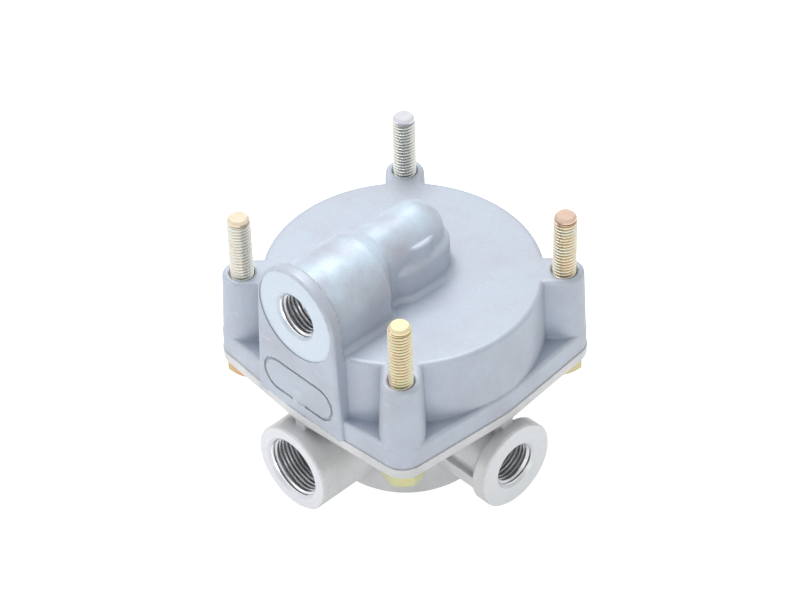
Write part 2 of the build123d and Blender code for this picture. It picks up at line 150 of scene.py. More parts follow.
def makeBlastedSkin():  # bead-blasted casting: tone, roughness and height
    group, start, end = newGroup(
        "blastedSkin",
        [("Vector", "NodeSocketVector", None),
         ("Tone", "NodeSocketColor", (0.6, 0.65, 0.72, 1)),
         ("Cloud Tone", "NodeSocketColor", (0.55, 0.6, 0.66, 1)),
         ("Cloud Size", "NodeSocketFloat", 60.0),
         ("Grain Size", "NodeSocketFloat", 2600.0),
         ("Roughness", "NodeSocketFloat", 0.5)],
        [("Color", "NodeSocketColor"), ("Roughness", "NodeSocketFloat"),
         ("Height", "NodeSocketFloat")])
    link = group.links.new
    cloud = addNode(group, "ShaderNodeTexNoise", (-600, 200), Detail=4.0, Roughness=0.6)
    link(start.outputs["Vector"], cloud.inputs["Vector"])
    link(start.outputs["Cloud Size"], cloud.inputs["Scale"])
    cloudRamp = addNode(group, "ShaderNodeMapRange", (-400, 200))
    setInputs(cloudRamp, {"From Min": 0.38, "From Max": 0.66})
    link(cloud.outputs["Fac"], cloudRamp.inputs["Value"])
    tone = addNode(group, "ShaderNodeMix", (-150, 250), data_type="RGBA")
    link(cloudRamp.outputs["Result"], tone.inputs["Factor"])
    link(start.outputs["Tone"], tone.inputs["A"])
    link(start.outputs["Cloud Tone"], tone.inputs["B"])
    grain = addNode(group, "ShaderNodeTexNoise", (-600, -80), Detail=3.0, Roughness=0.7)
    link(start.outputs["Vector"], grain.inputs["Vector"])
    link(start.outputs["Grain Size"], grain.inputs["Scale"])
    speck = addNode(group, "ShaderNodeMapRange", (-150, 40))
    setInputs(speck, {"From Min": 0.3, "From Max": 0.7, "To Min": 0.91, "To Max": 1.06})
    link(grain.outputs["Fac"], speck.inputs["Value"])
    shade = addNode(group, "ShaderNodeMix", (100, 250), data_type="RGBA", blend_type="MULTIPLY")
    shade.inputs["Factor"].default_value = 1.0
    link(tone.outputs["Result"], shade.inputs["A"])
    link(speck.outputs["Result"], shade.inputs["B"])
    link(shade.outputs["Result"], end.inputs["Color"])
    sway = addNode(group, "ShaderNodeMapRange", (-150, -200))
    setInputs(sway, {"From Min": 0.3, "From Max": 0.7, "To Min": -0.06, "To Max": 0.08})
    link(cloud.outputs["Fac"], sway.inputs["Value"])
    rough = addNode(group, "ShaderNodeMath", (100, -200), operation="ADD")
    link(start.outputs["Roughness"], rough.inputs[0])
    link(sway.outputs["Result"], rough.inputs[1])
    link(rough.outputs["Value"], end.inputs["Roughness"])
    ripple = addNode(group, "ShaderNodeTexNoise", (-600, -360), Detail=2.0, Scale=blastRipple["size"])
    link(start.outputs["Vector"], ripple.inputs["Vector"])
    height = addNode(group, "ShaderNodeMath", (100, -380), operation="MULTIPLY_ADD")
    height.inputs[1].default_value = blastRipple["share"]
    link(ripple.outputs["Fac"], height.inputs[0])
    link(grain.outputs["Fac"], height.inputs[2])
    link(height.outputs["Value"], end.inputs["Height"])
    return group


edgeReach = {"open": 0.0015, "creasePaintedShade": 0.007}  # how far an edge and a corner look round: the edge for wear, the corner for painted shade in creases


def makeEdgeRubAndPaintedShade():  # outer edges, where handling has rubbed the skin bright, and a painted shade mask that darkens corners and creases
    group, start, end = newGroup(
        "edgeRubAndPaintedShade",
        [("Vector", "NodeSocketVector", None),
         ("Width", "NodeSocketFloat", 0.0006),
         ("Amount", "NodeSocketFloat", 0.6)],
        [("Mask", "NodeSocketFloat"), ("Crease Painted Shade", "NodeSocketFloat"), ("Normal", "NodeSocketVector")])
    link = group.links.new
    bevel = addNode(group, "ShaderNodeBevel", (-650, 150), samples=6)
    link(start.outputs["Width"], bevel.inputs["Radius"])
    face = addNode(group, "ShaderNodeNewGeometry", (-650, -50))
    match = addNode(group, "ShaderNodeVectorMath", (-420, 120), operation="DOT_PRODUCT")
    link(bevel.outputs["Normal"], match.inputs[0])
    link(face.outputs["Normal"], match.inputs[1])
    turn = addNode(group, "ShaderNodeMapRange", (-200, 120))
    setInputs(turn, {"From Min": 0.99, "From Max": 0.90, "To Min": 0.0, "To Max": 1.0})
    link(match.outputs["Value"], turn.inputs["Value"])
    hollow = addNode(group, "ShaderNodeAmbientOcclusion", (-420, -220), samples=4)
    hollow.inputs["Distance"].default_value = edgeReach["open"]
    openness = addNode(group, "ShaderNodeMapRange", (-200, -220))
    setInputs(openness, {"From Min": 0.72, "From Max": 0.95})
    link(hollow.outputs["AO"], openness.inputs["Value"])
    patch = addNode(group, "ShaderNodeTexNoise", (-650, -420), Scale=650.0, Detail=4.0)
    link(start.outputs["Vector"], patch.inputs["Vector"])
    ragged = addNode(group, "ShaderNodeMapRange", (-420, -420))
    setInputs(ragged, {"From Min": 0.46, "From Max": 0.58, "To Min": 0.1, "To Max": 1.0})
    link(patch.outputs["Fac"], ragged.inputs["Value"])
    first = addNode(group, "ShaderNodeMath", (50, 50), operation="MULTIPLY")
    link(turn.outputs["Result"], first.inputs[0])
    link(openness.outputs["Result"], first.inputs[1])
    second = addNode(group, "ShaderNodeMath", (250, 0), operation="MULTIPLY")
    link(first.outputs["Value"], second.inputs[0])
    link(ragged.outputs["Result"], second.inputs[1])
    third = addNode(group, "ShaderNodeMath", (450, 0), operation="MULTIPLY")
    link(second.outputs["Value"], third.inputs[0])
    link(start.outputs["Amount"], third.inputs[1])
    link(third.outputs["Value"], end.inputs["Mask"])
    link(bevel.outputs["Normal"], end.inputs["Normal"])
    # painted shade: local occlusion over a few millimetres darkens corners and creases
    corner = addNode(group, "ShaderNodeAmbientOcclusion", (-420, -650), samples=8, only_local=True)
    corner.inputs["Distance"].default_value = edgeReach["creasePaintedShade"]
    depth = addNode(group, "ShaderNodeMapRange", (50, -650))
    setInputs(depth, {"From Min": 0.88, "From Max": 0.40, "To Min": 0.0, "To Max": 1.0})
    link(corner.outputs["AO"], depth.inputs["Value"])
    link(depth.outputs["Result"], end.inputs["Crease Painted Shade"])
    return group


def makeLatheMarks():  # rings that a turning tool leaves round Z
    group, start, end = newGroup(
        "latheMarks",
        [("Vector", "NodeSocketVector", None), ("Fineness", "NodeSocketFloat", 4000.0)],
        [("Mask", "NodeSocketFloat")])
    link = group.links.new
    split = addNode(group, "ShaderNodeSeparateXYZ", (-700, 0))
    link(start.outputs["Vector"], split.inputs["Vector"])
    flat = addNode(group, "ShaderNodeCombineXYZ", (-500, 100))
    link(split.outputs["X"], flat.inputs["X"])
    link(split.outputs["Y"], flat.inputs["Y"])
    radius = addNode(group, "ShaderNodeVectorMath", (-300, 100), operation="LENGTH")
    link(flat.outputs["Vector"], radius.inputs[0])
    path = addNode(group, "ShaderNodeMath", (-100, 0), operation="ADD")
    link(radius.outputs["Value"], path.inputs[0])
    link(split.outputs["Z"], path.inputs[1])
    ring = addNode(group, "ShaderNodeTexNoise", (150, 0), noise_dimensions="1D", Detail=3.0, Roughness=0.6)
    link(path.outputs["Value"], ring.inputs["W"])
    link(start.outputs["Fineness"], ring.inputs["Scale"])
    spread = addNode(group, "ShaderNodeMapRange", (400, 0))
    setInputs(spread, {"From Min": 0.3, "From Max": 0.7})
    link(ring.outputs["Fac"], spread.inputs["Value"])
    link(spread.outputs["Result"], end.inputs["Mask"])
    return group


# turns about X and Z in degrees, and the scale along X, Y and Z
scratchLay = {"turns": ((20, 35), (-15, -55)), "scale": (90, 3200, 400)}


def makeScratches():  # short thin handling marks in two directions
    group, start, end = newGroup(
        "scratches",
        [("Vector", "NodeSocketVector", None), ("Amount", "NodeSocketFloat", 0.3)],
        [("Mask", "NodeSocketFloat")])
    link = group.links.new
    masks = []
    for row, (turnX, turnZ) in enumerate(scratchLay["turns"]):
        lay = addNode(group, "ShaderNodeMapping", (-700, -300 * row))
        setInputs(lay, {"Rotation": (math.radians(turnX), 0, math.radians(turnZ)),
                        "Scale": scratchLay["scale"]})
        link(start.outputs["Vector"], lay.inputs["Vector"])
        streak = addNode(group, "ShaderNodeTexNoise", (-500, -300 * row), Scale=1.0, Detail=1.0)
        link(lay.outputs["Vector"], streak.inputs["Vector"])
        thin = addNode(group, "ShaderNodeMapRange", (-280, -300 * row))
        setInputs(thin, {"From Min": 0.70, "From Max": 0.76})
        link(streak.outputs["Fac"], thin.inputs["Value"])
        masks.append(thin)
    both = addNode(group, "ShaderNodeMath", (0, 0), operation="MAXIMUM")
    link(masks[0].outputs["Result"], both.inputs[0])
    link(masks[1].outputs["Result"], both.inputs[1])
    scaled = addNode(group, "ShaderNodeMath", (250, 0), operation="MULTIPLY")
    link(both.outputs["Value"], scaled.inputs[0])
    link(start.outputs["Amount"], scaled.inputs[1])
    link(scaled.outputs["Value"], end.inputs["Mask"])
    return group


def makeTintFilm():  # thin passivation film that drifts between three tints
    group, start, end = newGroup(
        "tintFilm",
        [("Vector", "NodeSocketVector", None),
         ("Tone", "NodeSocketColor", (0.8, 0.75, 0.55, 1)),
         ("Warm Tone", "NodeSocketColor", (0.85, 0.6, 0.55, 1)),
         ("Cool Tone", "NodeSocketColor", (0.6, 0.75, 0.6, 1)),
         ("Drift Size", "NodeSocketFloat", 260.0)],
        [("Color", "NodeSocketColor")])
    link = group.links.new
    drift = addNode(group, "ShaderNodeTexNoise", (-600, 150), Detail=2.0)
    link(start.outputs["Vector"], drift.inputs["Vector"])
    link(start.outputs["Drift Size"], drift.inputs["Scale"])
    warm = addNode(group, "ShaderNodeMapRange", (-350, 200))
    setInputs(warm, {"From Min": 0.52, "From Max": 0.66})
    link(drift.outputs["Fac"], warm.inputs["Value"])
    cool = addNode(group, "ShaderNodeMapRange", (-350, -50))
    setInputs(cool, {"From Min": 0.48, "From Max": 0.34})
    link(drift.outputs["Fac"], cool.inputs["Value"])
    first = addNode(group, "ShaderNodeMix", (0, 150), data_type="RGBA")
    link(warm.outputs["Result"], first.inputs["Factor"])
    link(start.outputs["Tone"], first.inputs["A"])
    link(start.outputs["Warm Tone"], first.inputs["B"])
    second = addNode(group, "ShaderNodeMix", (300, 100), data_type="RGBA")
    link(cool.outputs["Result"], second.inputs["Factor"])
    link(first.outputs["Result"], second.inputs["A"])
    link(start.outputs["Cool Tone"], second.inputs["B"])
    link(second.outputs["Result"], end.inputs["Color"])
    return group


blastedSkin = makeBlastedSkin()
edgeRubAndPaintedShade = makeEdgeRubAndPaintedShade()
latheMarks = makeLatheMarks()
scratches = makeScratches()
tintFilm = makeTintFilm()


def startMaterial(name):
    material = bpy.data.materials.new(name)
    material.use_nodes = True
    tree = material.node_tree
    shader = tree.nodes["Principled BSDF"]
    where = addNode(tree, "ShaderNodeTexCoord", (-1200, 0))
    return material, tree, shader, where.outputs["Object"]


bumpDepth = {"cast": 0.00006, "turned": 0.00002, "moulded": 0.00003}
roughSpread = {"metal": (-0.06, 0.08), "moulded": (-0.10, 0.12)}


def varyRoughness(tree, noise, shader, middle, spread):
    level = addNode(tree, "ShaderNodeMapRange", (-300, -100))
    setInputs(level, {"To Min": middle + spread[0], "To Max": middle + spread[1]})
    tree.links.new(noise.outputs["Fac"], level.inputs["Value"])
    tree.links.new(level.outputs["Result"], shader.inputs["Roughness"])


def castMetal(name, look):
    material, tree, shader, where = startMaterial(name)
    link = tree.links.new
    skin = addNode(tree, "ShaderNodeGroup", (-800, 100), node_tree=blastedSkin)
    setInputs(skin, {"Cloud Tone": (*look["cloudTone"], 1), "Roughness": look["roughness"],
                     "Grain Size": look["grainSize"]})
    link(where, skin.inputs["Vector"])
    if "paintedHighlightTone" in look:  # painted highlight: the raised channel is painted paler towards its top, standing in for the light it catches
        split = addNode(tree, "ShaderNodeSeparateXYZ", (-1250, 350))
        link(where, split.inputs["Vector"])
        rise = addNode(tree, "ShaderNodeMapRange", (-1050, 350), interpolation_type="SMOOTHSTEP")
        setInputs(rise, {"From Min": look["paintedHighlightRise"][0], "From Max": look["paintedHighlightRise"][1]})
        link(split.outputs["Z"], rise.inputs["Value"])
        behind = addNode(tree, "ShaderNodeMapRange", (-1250, 550))
        setInputs(behind, {"From Min": look["paintedHighlightFront"][0], "From Max": look["paintedHighlightFront"][1]})
        link(split.outputs["Y"], behind.inputs["Value"])
        channel = addNode(tree, "ShaderNodeMath", (-850, 450), operation="MULTIPLY")
        link(rise.outputs["Result"], channel.inputs[0])
        link(behind.outputs["Result"], channel.inputs[1])
        tone = addNode(tree, "ShaderNodeMix", (-950, 250), data_type="RGBA")
        setInputs(tone, {"A": (*look["tone"], 1), "B": (*look["paintedHighlightTone"], 1)})
        link(channel.outputs["Value"], tone.inputs["Factor"])
        link(tone.outputs["Result"], skin.inputs["Tone"])
    else:
        setInputs(skin, {"Tone": (*look["tone"], 1)})
    rubAndShade = addNode(tree, "ShaderNodeGroup", (-800, -250), node_tree=edgeRubAndPaintedShade)
    setInputs(rubAndShade, {"Width": look["rubWidth"], "Amount": look["rubAmount"]})
    link(where, rubAndShade.inputs["Vector"])
    marks = addNode(tree, "ShaderNodeGroup", (-800, -500), node_tree=scratches)
    setInputs(marks, {"Amount": look["scratchAmount"]})
    link(where, marks.inputs["Vector"])
    wear = addNode(tree, "ShaderNodeMath", (-550, -350), operation="MAXIMUM")
    link(rubAndShade.outputs["Mask"], wear.inputs[0])
    link(marks.outputs["Mask"], wear.inputs[1])
    worn = addNode(tree, "ShaderNodeMix", (-350, 150), data_type="RGBA")
    setInputs(worn, {"B": (*look["rubTone"], 1)})
    link(wear.outputs["Value"], worn.inputs["Factor"])
    link(skin.outputs["Color"], worn.inputs["A"])
    # painted shade: the crease mask multiplies the colour towards a darker tone in corners and creases
    paintedShadeFactor = addNode(tree, "ShaderNodeMath", (-350, -50), operation="MULTIPLY")
    paintedShadeFactor.inputs[1].default_value = look["paintedShadeAmount"]
    link(rubAndShade.outputs["Crease Painted Shade"], paintedShadeFactor.inputs[0])
    settled = addNode(tree, "ShaderNodeMix", (-150, 150), data_type="RGBA", blend_type="MULTIPLY")
    setInputs(settled, {"B": (*look["paintedShadeTone"], 1)})
    link(paintedShadeFactor.outputs["Value"], settled.inputs["Factor"])
    link(worn.outputs["Result"], settled.inputs["A"])
    link(settled.outputs["Result"], shader.inputs["Base Color"])
    link(skin.outputs["Roughness"], shader.inputs["Roughness"])
    relief = addNode(tree, "ShaderNodeBump", (-350, -250))
    setInputs(relief, {"Strength": look["bump"], "Distance": bumpDepth["cast"]})
    link(skin.outputs["Height"], relief.inputs["Height"])
    link(rubAndShade.outputs["Normal"], relief.inputs["Normal"])
    link(relief.outputs["Normal"], shader.inputs["Normal"])
    shader.inputs["Metallic"].default_value = look["metallic"]
    return material


def turnedMetal(name, look):
    material, tree, shader, where = startMaterial(name)
    link = tree.links.new
    if "turn" in look:  # the turning axis comes to Z
        lay = addNode(tree, "ShaderNodeMapping", (-1000, 0))
        setInputs(lay, {"Location": look["shift"],
                        "Rotation": [math.radians(angle) for angle in look["turn"]]})
        link(where, lay.inputs["Vector"])
        where = lay.outputs["Vector"]
    ring = addNode(tree, "ShaderNodeGroup", (-750, 150), node_tree=latheMarks)
    setInputs(ring, {"Fineness": look["fineness"]})
    link(where, ring.inputs["Vector"])
    haze = addNode(tree, "ShaderNodeTexNoise", (-750, -100), Scale=look["hazeSize"], Detail=4.0)
    link(where, haze.inputs["Vector"])
    blend = addNode(tree, "ShaderNodeMath", (-550, 50), operation="MULTIPLY")
    link(ring.outputs["Mask"], blend.inputs[0])
    link(haze.outputs["Fac"], blend.inputs[1])
    tone = addNode(tree, "ShaderNodeMix", (-300, 150), data_type="RGBA")
    setInputs(tone, {"A": (*look["tone"], 1), "B": (*look["ringTone"], 1)})
    link(blend.outputs["Value"], tone.inputs["Factor"])
    link(tone.outputs["Result"], shader.inputs["Base Color"])
    varyRoughness(tree, haze, shader, look["roughness"], roughSpread["metal"])
    relief = addNode(tree, "ShaderNodeBump", (-300, -350))
    setInputs(relief, {"Strength": look["bump"], "Distance": bumpDepth["turned"]})
    link(ring.outputs["Mask"], relief.inputs["Height"])
    link(relief.outputs["Normal"], shader.inputs["Normal"])
    shader.inputs["Metallic"].default_value = look["metallic"]
    return material


def mouldedSkin(name, look):
    material, tree, shader, where = startMaterial(name)
    link = tree.links.new
    dust = addNode(tree, "ShaderNodeTexNoise", (-750, 150), Scale=look["dustSize"], Detail=5.0, Roughness=0.6)
    link(where, dust.inputs["Vector"])
    settled = addNode(tree, "ShaderNodeMapRange", (-520, 150))
    setInputs(settled, {"From Min": 0.45, "From Max": 0.75, "To Max": look["dust"]})
    link(dust.outputs["Fac"], settled.inputs["Value"])
    tone = addNode(tree, "ShaderNodeMix", (-300, 150), data_type="RGBA")
    setInputs(tone, {"A": (*look["tone"], 1), "B": (*look["dustTone"], 1)})
    link(settled.outputs["Result"], tone.inputs["Factor"])
    link(tone.outputs["Result"], shader.inputs["Base Color"])
    varyRoughness(tree, dust, shader, look["roughness"], roughSpread["moulded"])
    grain = addNode(tree, "ShaderNodeTexNoise", (-750, -350), Scale=look["grainSize"], Detail=2.0)
    link(where, grain.inputs["Vector"])
    relief = addNode(tree, "ShaderNodeBump", (-300, -350))
    setInputs(relief, {"Strength": look["bump"], "Distance": bumpDepth["moulded"]})
    link(grain.outputs["Fac"], relief.inputs["Height"])
    link(relief.outputs["Normal"], shader.inputs["Normal"])
    return material


def zincMetal(name, look):
    material, tree, shader, where = startMaterial(name)
    link = tree.links.new
    film = addNode(tree, "ShaderNodeGroup", (-700, 150), node_tree=tintFilm)
    setInputs(film, {"Tone": (*look["tone"], 1), "Warm Tone": (*look["warmTone"], 1),
                     "Cool Tone": (*look["coolTone"], 1), "Drift Size": look["driftSize"]})
    link(where, film.inputs["Vector"])
    split = addNode(tree, "ShaderNodeSeparateXYZ", (-1500, 500))
    link(where, split.inputs["Vector"])
    flat = addNode(tree, "ShaderNodeCombineXYZ", (-900, 500))
    for side in ("X", "Y"):  # distance from the axis of whichever bolt is nearest
        fold = addNode(tree, "ShaderNodeMath", (-1300, 500), operation="ABSOLUTE")
        link(split.outputs[side], fold.inputs[0])
        centre = addNode(tree, "ShaderNodeMath", (-1100, 500), operation="SUBTRACT")
        centre.inputs[1].default_value = boltSpread
        link(fold.outputs["Value"], centre.inputs[0])
        link(centre.outputs["Value"], flat.inputs[side])
    radius = addNode(tree, "ShaderNodeVectorMath", (-700, 500), operation="LENGTH")
    link(flat.outputs["Vector"], radius.inputs[0])
    crest = addNode(tree, "ShaderNodeMapRange", (-520, 500))
    setInputs(crest, {"From Min": look["rootRadius"], "From Max": look["crestRadius"]})
    link(radius.outputs["Value"], crest.inputs["Value"])
    tip = addNode(tree, "ShaderNodeMath", (-520, 800), operation="GREATER_THAN")
    tip.inputs[1].default_value = look["tipHeight"]
    link(split.outputs["Z"], tip.inputs[0])
    # the thread roots are darker, dirt plus painted shade, set by distance from the bolt's axis
    rolled = addNode(tree, "ShaderNodeMix", (-150, 250), data_type="RGBA")
    setInputs(rolled, {"A": (*look["rootDirtAndShadeTone"], 1)})
    link(crest.outputs["Result"], rolled.inputs["Factor"])
    link(film.outputs["Color"], rolled.inputs["B"])
    capped = addNode(tree, "ShaderNodeMix", (50, 250), data_type="RGBA")
    setInputs(capped, {"B": (*look["tipTone"], 1)})
    link(tip.outputs["Value"], capped.inputs["Factor"])
    link(rolled.outputs["Result"], capped.inputs["A"])
    link(capped.outputs["Result"], shader.inputs["Base Color"])
    haze = addNode(tree, "ShaderNodeTexNoise", (-700, -500), Scale=look["hazeSize"], Detail=3.0)
    link(where, haze.inputs["Vector"])
    varyRoughness(tree, haze, shader, look["roughness"], roughSpread["metal"])
    shader.inputs["Metallic"].default_value = look["metallic"]
    return material


boltSpread = mounts["mounting_studs"]["dims"]["spacing_x_mm"] / 1000 / 2
portHeight = {"low": mounts["supply_port"]["pos_m"][2], "high": mounts["control_port"]["pos_m"][2]}
# the paler channel tone is a painted highlight, and the crease tone and amount paint shade into corners and
# creases
castLooks = {
    "coverSkin": {
        "tone": (0.545, 0.610, 0.700), "cloudTone": (0.530, 0.560, 0.640), "rubTone": (0.92, 0.93, 0.95),
        "paintedHighlightTone": (0.650, 0.790, 0.910), "paintedHighlightRise": (0.084, 0.102), "paintedHighlightFront": (-0.045, -0.043),
        "metallic": 0.25, "roughness": 0.47, "bump": 0.50, "grainSize": 2600.0,
        "rubWidth": 0.0013, "rubAmount": 0.9, "scratchAmount": 0.15,
        "paintedShadeTone": (0.52, 0.57, 0.64), "paintedShadeAmount": 0.5},
    "bodySkin": {
        "tone": (0.770, 0.772, 0.788), "cloudTone": (0.660, 0.675, 0.685), "rubTone": (0.88, 0.89, 0.90),
        "metallic": 0.25, "roughness": 0.46, "bump": 0.45, "grainSize": 2200.0,
        "rubWidth": 0.0012, "rubAmount": 0.9, "scratchAmount": 0.12,
        "paintedShadeTone": (0.50, 0.51, 0.53), "paintedShadeAmount": 0.6},
    "pistonSkin": {
        "tone": (0.600, 0.610, 0.630), "cloudTone": (0.540, 0.550, 0.570), "rubTone": (0.80, 0.81, 0.83),
        "metallic": 0.6, "roughness": 0.42, "bump": 0.3, "grainSize": 2400.0,
        "rubWidth": 0.0005, "rubAmount": 0.7, "scratchAmount": 0.2,
        "paintedShadeTone": (0.50, 0.51, 0.53), "paintedShadeAmount": 0.5},
}
turnedLooks = {
    "controlFace": {
        "tone": (0.700, 0.800, 0.900), "ringTone": (0.600, 0.690, 0.780), "metallic": 0.3, "roughness": 0.42,
        "fineness": 2200.0, "hazeSize": 500.0, "bump": 0.25,
        "turn": (90, 0, 0), "shift": (0, portHeight["high"], 0)},
    "supplyFace": {
        "tone": (0.815, 0.825, 0.875), "ringTone": (0.705, 0.715, 0.760), "metallic": 0.3, "roughness": 0.42,
        "fineness": 2200.0, "hazeSize": 500.0, "bump": 0.25,
        "turn": (90, 0, 0), "shift": (0, portHeight["low"], 0)},
    "deliveryFace": {
        "tone": (0.800, 0.830, 0.850), "ringTone": (0.680, 0.705, 0.725), "metallic": 0.3, "roughness": 0.42,
        "fineness": 2200.0, "hazeSize": 500.0, "bump": 0.25,
        "turn": (0, 90, 0), "shift": (-portHeight["low"], 0, 0)},
    "cutMetal": {
        "tone": (0.760, 0.770, 0.785), "ringTone": (0.680, 0.690, 0.705), "metallic": 1.0, "roughness": 0.24,
        "fineness": 600.0, "hazeSize": 300.0, "bump": 0.0},
    # the three thread finishes are lit and shaded copies of one cut metal: painted highlight on the crests, a
    # middle tone on the flanks, painted shade in the roots
    "threadCrestPaintedHighlight": {
        "tone": (0.960, 0.970, 0.990), "ringTone": (0.900, 0.910, 0.930), "metallic": 0.9, "roughness": 0.22,
        "fineness": 600.0, "hazeSize": 300.0, "bump": 0.0},
    "threadFlank": {
        "tone": (0.640, 0.650, 0.675), "ringTone": (0.540, 0.550, 0.575), "metallic": 0.8, "roughness": 0.32,
        "fineness": 600.0, "hazeSize": 300.0, "bump": 0.0},
    "threadRootPaintedShade": {
        "tone": (0.055, 0.055, 0.060), "ringTone": (0.085, 0.085, 0.090), "metallic": 0.3, "roughness": 0.50,
        "fineness": 600.0, "hazeSize": 300.0, "bump": 0.0},
    "brass": {
        "tone": (0.740, 0.540, 0.240), "ringTone": (0.600, 0.430, 0.180), "metallic": 1.0, "roughness": 0.28,
        "fineness": 4200.0, "hazeSize": 300.0, "bump": 0.3},
    "valveMetal": {
        "tone": (0.680, 0.690, 0.710), "ringTone": (0.560, 0.570, 0.590), "metallic": 1.0, "roughness": 0.28,
        "fineness": 4200.0, "hazeSize": 300.0, "bump": 0.3},
    "springWire": {
        "tone": (0.540, 0.550, 0.570), "ringTone": (0.400, 0.405, 0.420), "metallic": 1.0, "roughness": 0.30,
        "fineness": 900.0, "hazeSize": 900.0, "bump": 0.1},
    "platedSteel": {
        "tone": (0.700, 0.710, 0.720), "ringTone": (0.600, 0.610, 0.625), "metallic": 1.0, "roughness": 0.28,
        "fineness": 1500.0, "hazeSize": 260.0, "bump": 0.1},
    "phosphatedSteel": {
        "tone": (0.075, 0.075, 0.082), "ringTone": (0.140, 0.135, 0.130), "metallic": 0.7, "roughness": 0.50,
        "fineness": 700.0, "hazeSize": 1200.0, "bump": 0.2},
}
mouldedLooks = {
    "rubber": {
        "tone": (0.022, 0.022, 0.025), "dustTone": (0.110, 0.110, 0.115), "dust": 0.5, "dustSize": 160.0,
        "roughness": 0.58, "grainSize": 2600.0, "bump": 0.25},
    "gridPlastic": {
        "tone": (0.040, 0.041, 0.045), "dustTone": (0.100, 0.100, 0.105), "dust": 0.35, "dustSize": 120.0,
        "roughness": 0.42, "grainSize": 1800.0, "bump": 0.35},
}
# each zinc's root tone is dirt plus painted shade in the thread roots
zincLooks = {
    "champagneZinc": {
        "tone": (0.960, 0.940, 0.880), "warmTone": (0.960, 0.880, 0.820), "coolTone": (0.900, 0.950, 0.880),
        "rootDirtAndShadeTone": (0.640, 0.610, 0.530), "tipTone": (0.780, 0.680, 0.520), "roughness": 0.28},
    "silverZinc": {
        "tone": (0.930, 0.940, 0.900), "warmTone": (0.940, 0.910, 0.850), "coolTone": (0.870, 0.930, 0.900),
        "rootDirtAndShadeTone": (0.430, 0.435, 0.395), "tipTone": (0.700, 0.700, 0.760), "roughness": 0.28},
    "goldZinc": {
        "tone": (0.960, 0.900, 0.700), "warmTone": (0.960, 0.800, 0.660), "coolTone": (0.910, 0.930, 0.700),
        "rootDirtAndShadeTone": (0.440, 0.340, 0.140), "tipTone": (0.800, 0.700, 0.450), "roughness": 0.28},
    "roseZinc": {
        "tone": (0.970, 0.910, 0.740), "warmTone": (0.960, 0.800, 0.640), "coolTone": (0.900, 0.930, 0.900),
        "rootDirtAndShadeTone": (0.500, 0.400, 0.230), "tipTone": (0.720, 0.540, 0.430), "roughness": 0.28},
    "limeZinc": {
        "tone": (0.530, 0.535, 0.290), "warmTone": (0.560, 0.480, 0.280), "coolTone": (0.440, 0.490, 0.290),
        "rootDirtAndShadeTone": (0.530, 0.535, 0.290), "tipTone": (0.530, 0.535, 0.290), "roughness": 0.38},
    "amberZinc": {
        "tone": (0.560, 0.380, 0.200), "warmTone": (0.580, 0.300, 0.160), "coolTone": (0.500, 0.440, 0.240),
        "rootDirtAndShadeTone": (0.560, 0.380, 0.200), "tipTone": (0.560, 0.380, 0.200), "roughness": 0.38},
}
tipBand = 0.0018  # plain end of a bolt, above the thread
zincShared = {
    "metallic": 0.65, "driftSize": 260.0, "hazeSize": 500.0, "rootRadius": 0.0033, "crestRadius": 0.0039,
    "tipHeight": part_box("cover_bolts")[1].z - tipBand,
}
for look in zincLooks.values():
    look.update(zincShared)

materials = {}
for maker, looks in ((castMetal, castLooks), (turnedMetal, turnedLooks), (mouldedSkin, mouldedLooks),
                     (zincMetal, zincLooks)):
    for name, look in looks.items():
        materials[name] = maker(name, look)
print("materials made:", len(materials))

innerFinish = {
    "housing_o_ring": "rubber",
    "relay_piston": "pistonSkin",
    "piston_o_ring": "rubber",
    "valve_tube": "valveMetal",
    "valve_rubber": "rubber",
    "valve_spring": "springWire",
    "spring_washer": "platedSteel",
    "valve_guide": "brass",
    "guide_o_ring": "rubber",
    "tube_lip_ring": "rubber",
    "lip_ring_retainer": "platedSteel",
    "tube_wiper_ring": "rubber",
    "retaining_ring": "phosphatedSteel",
    "exhaust_grid": "gridPlastic",
    "exhaust_flap": "rubber",
    "flap_washer": "platedSteel",
    "flap_screw": "platedSteel",
}
for node, finish in innerFinish.items():
    mesh = frame["nodes"][node].data
    mesh.materials.clear()
    mesh.materials.append(materials[finish])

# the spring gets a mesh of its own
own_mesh(frame["nodes"]["valve_spring"])
print("inner pieces finished:", len(innerFinish))


casting = {
    "upper_housing": {"skin": "coverSkin", "ports": {"control_port": "controlFace"}},
    "lower_housing": {"skin": "bodySkin", "ports": {"supply_port": "supplyFace",
                                                    "delivery_port_right": "deliveryFace",
                                                    "delivery_port_left": "deliveryFace"}},
}


machined = {
    "faceReach": 0.0003,
    "facing": 0.99,  # how squarely a face looks out of its port
    "slack": 0.0001,
    "spotDepth": 0.00035,  # the control port's face lies this deep in the plate
    "chamfer": 0.00095,
    "boreDepth": 0.0160,
    "discRadius": {"supply_port": 0.0155, "delivery_port_right": 0.0154,
                   "delivery_port_left": 0.0154, "control_port": 0.0168},
}


def portMouth(name):  # centre of a port's face, on the housing that carries it
    mount = mounts[name]
    out = Vector(mount["axis"])
    node = "upper_housing" if name == "control_port" else "lower_housing"
    low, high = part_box(node)
    reach = max(out.dot(low), out.dot(high))
    if name == "control_port":
        reach -= machined["spotDepth"]
    centre = Vector(mount["pos_m"])
    return centre + out * (reach - centre.dot(out)), out


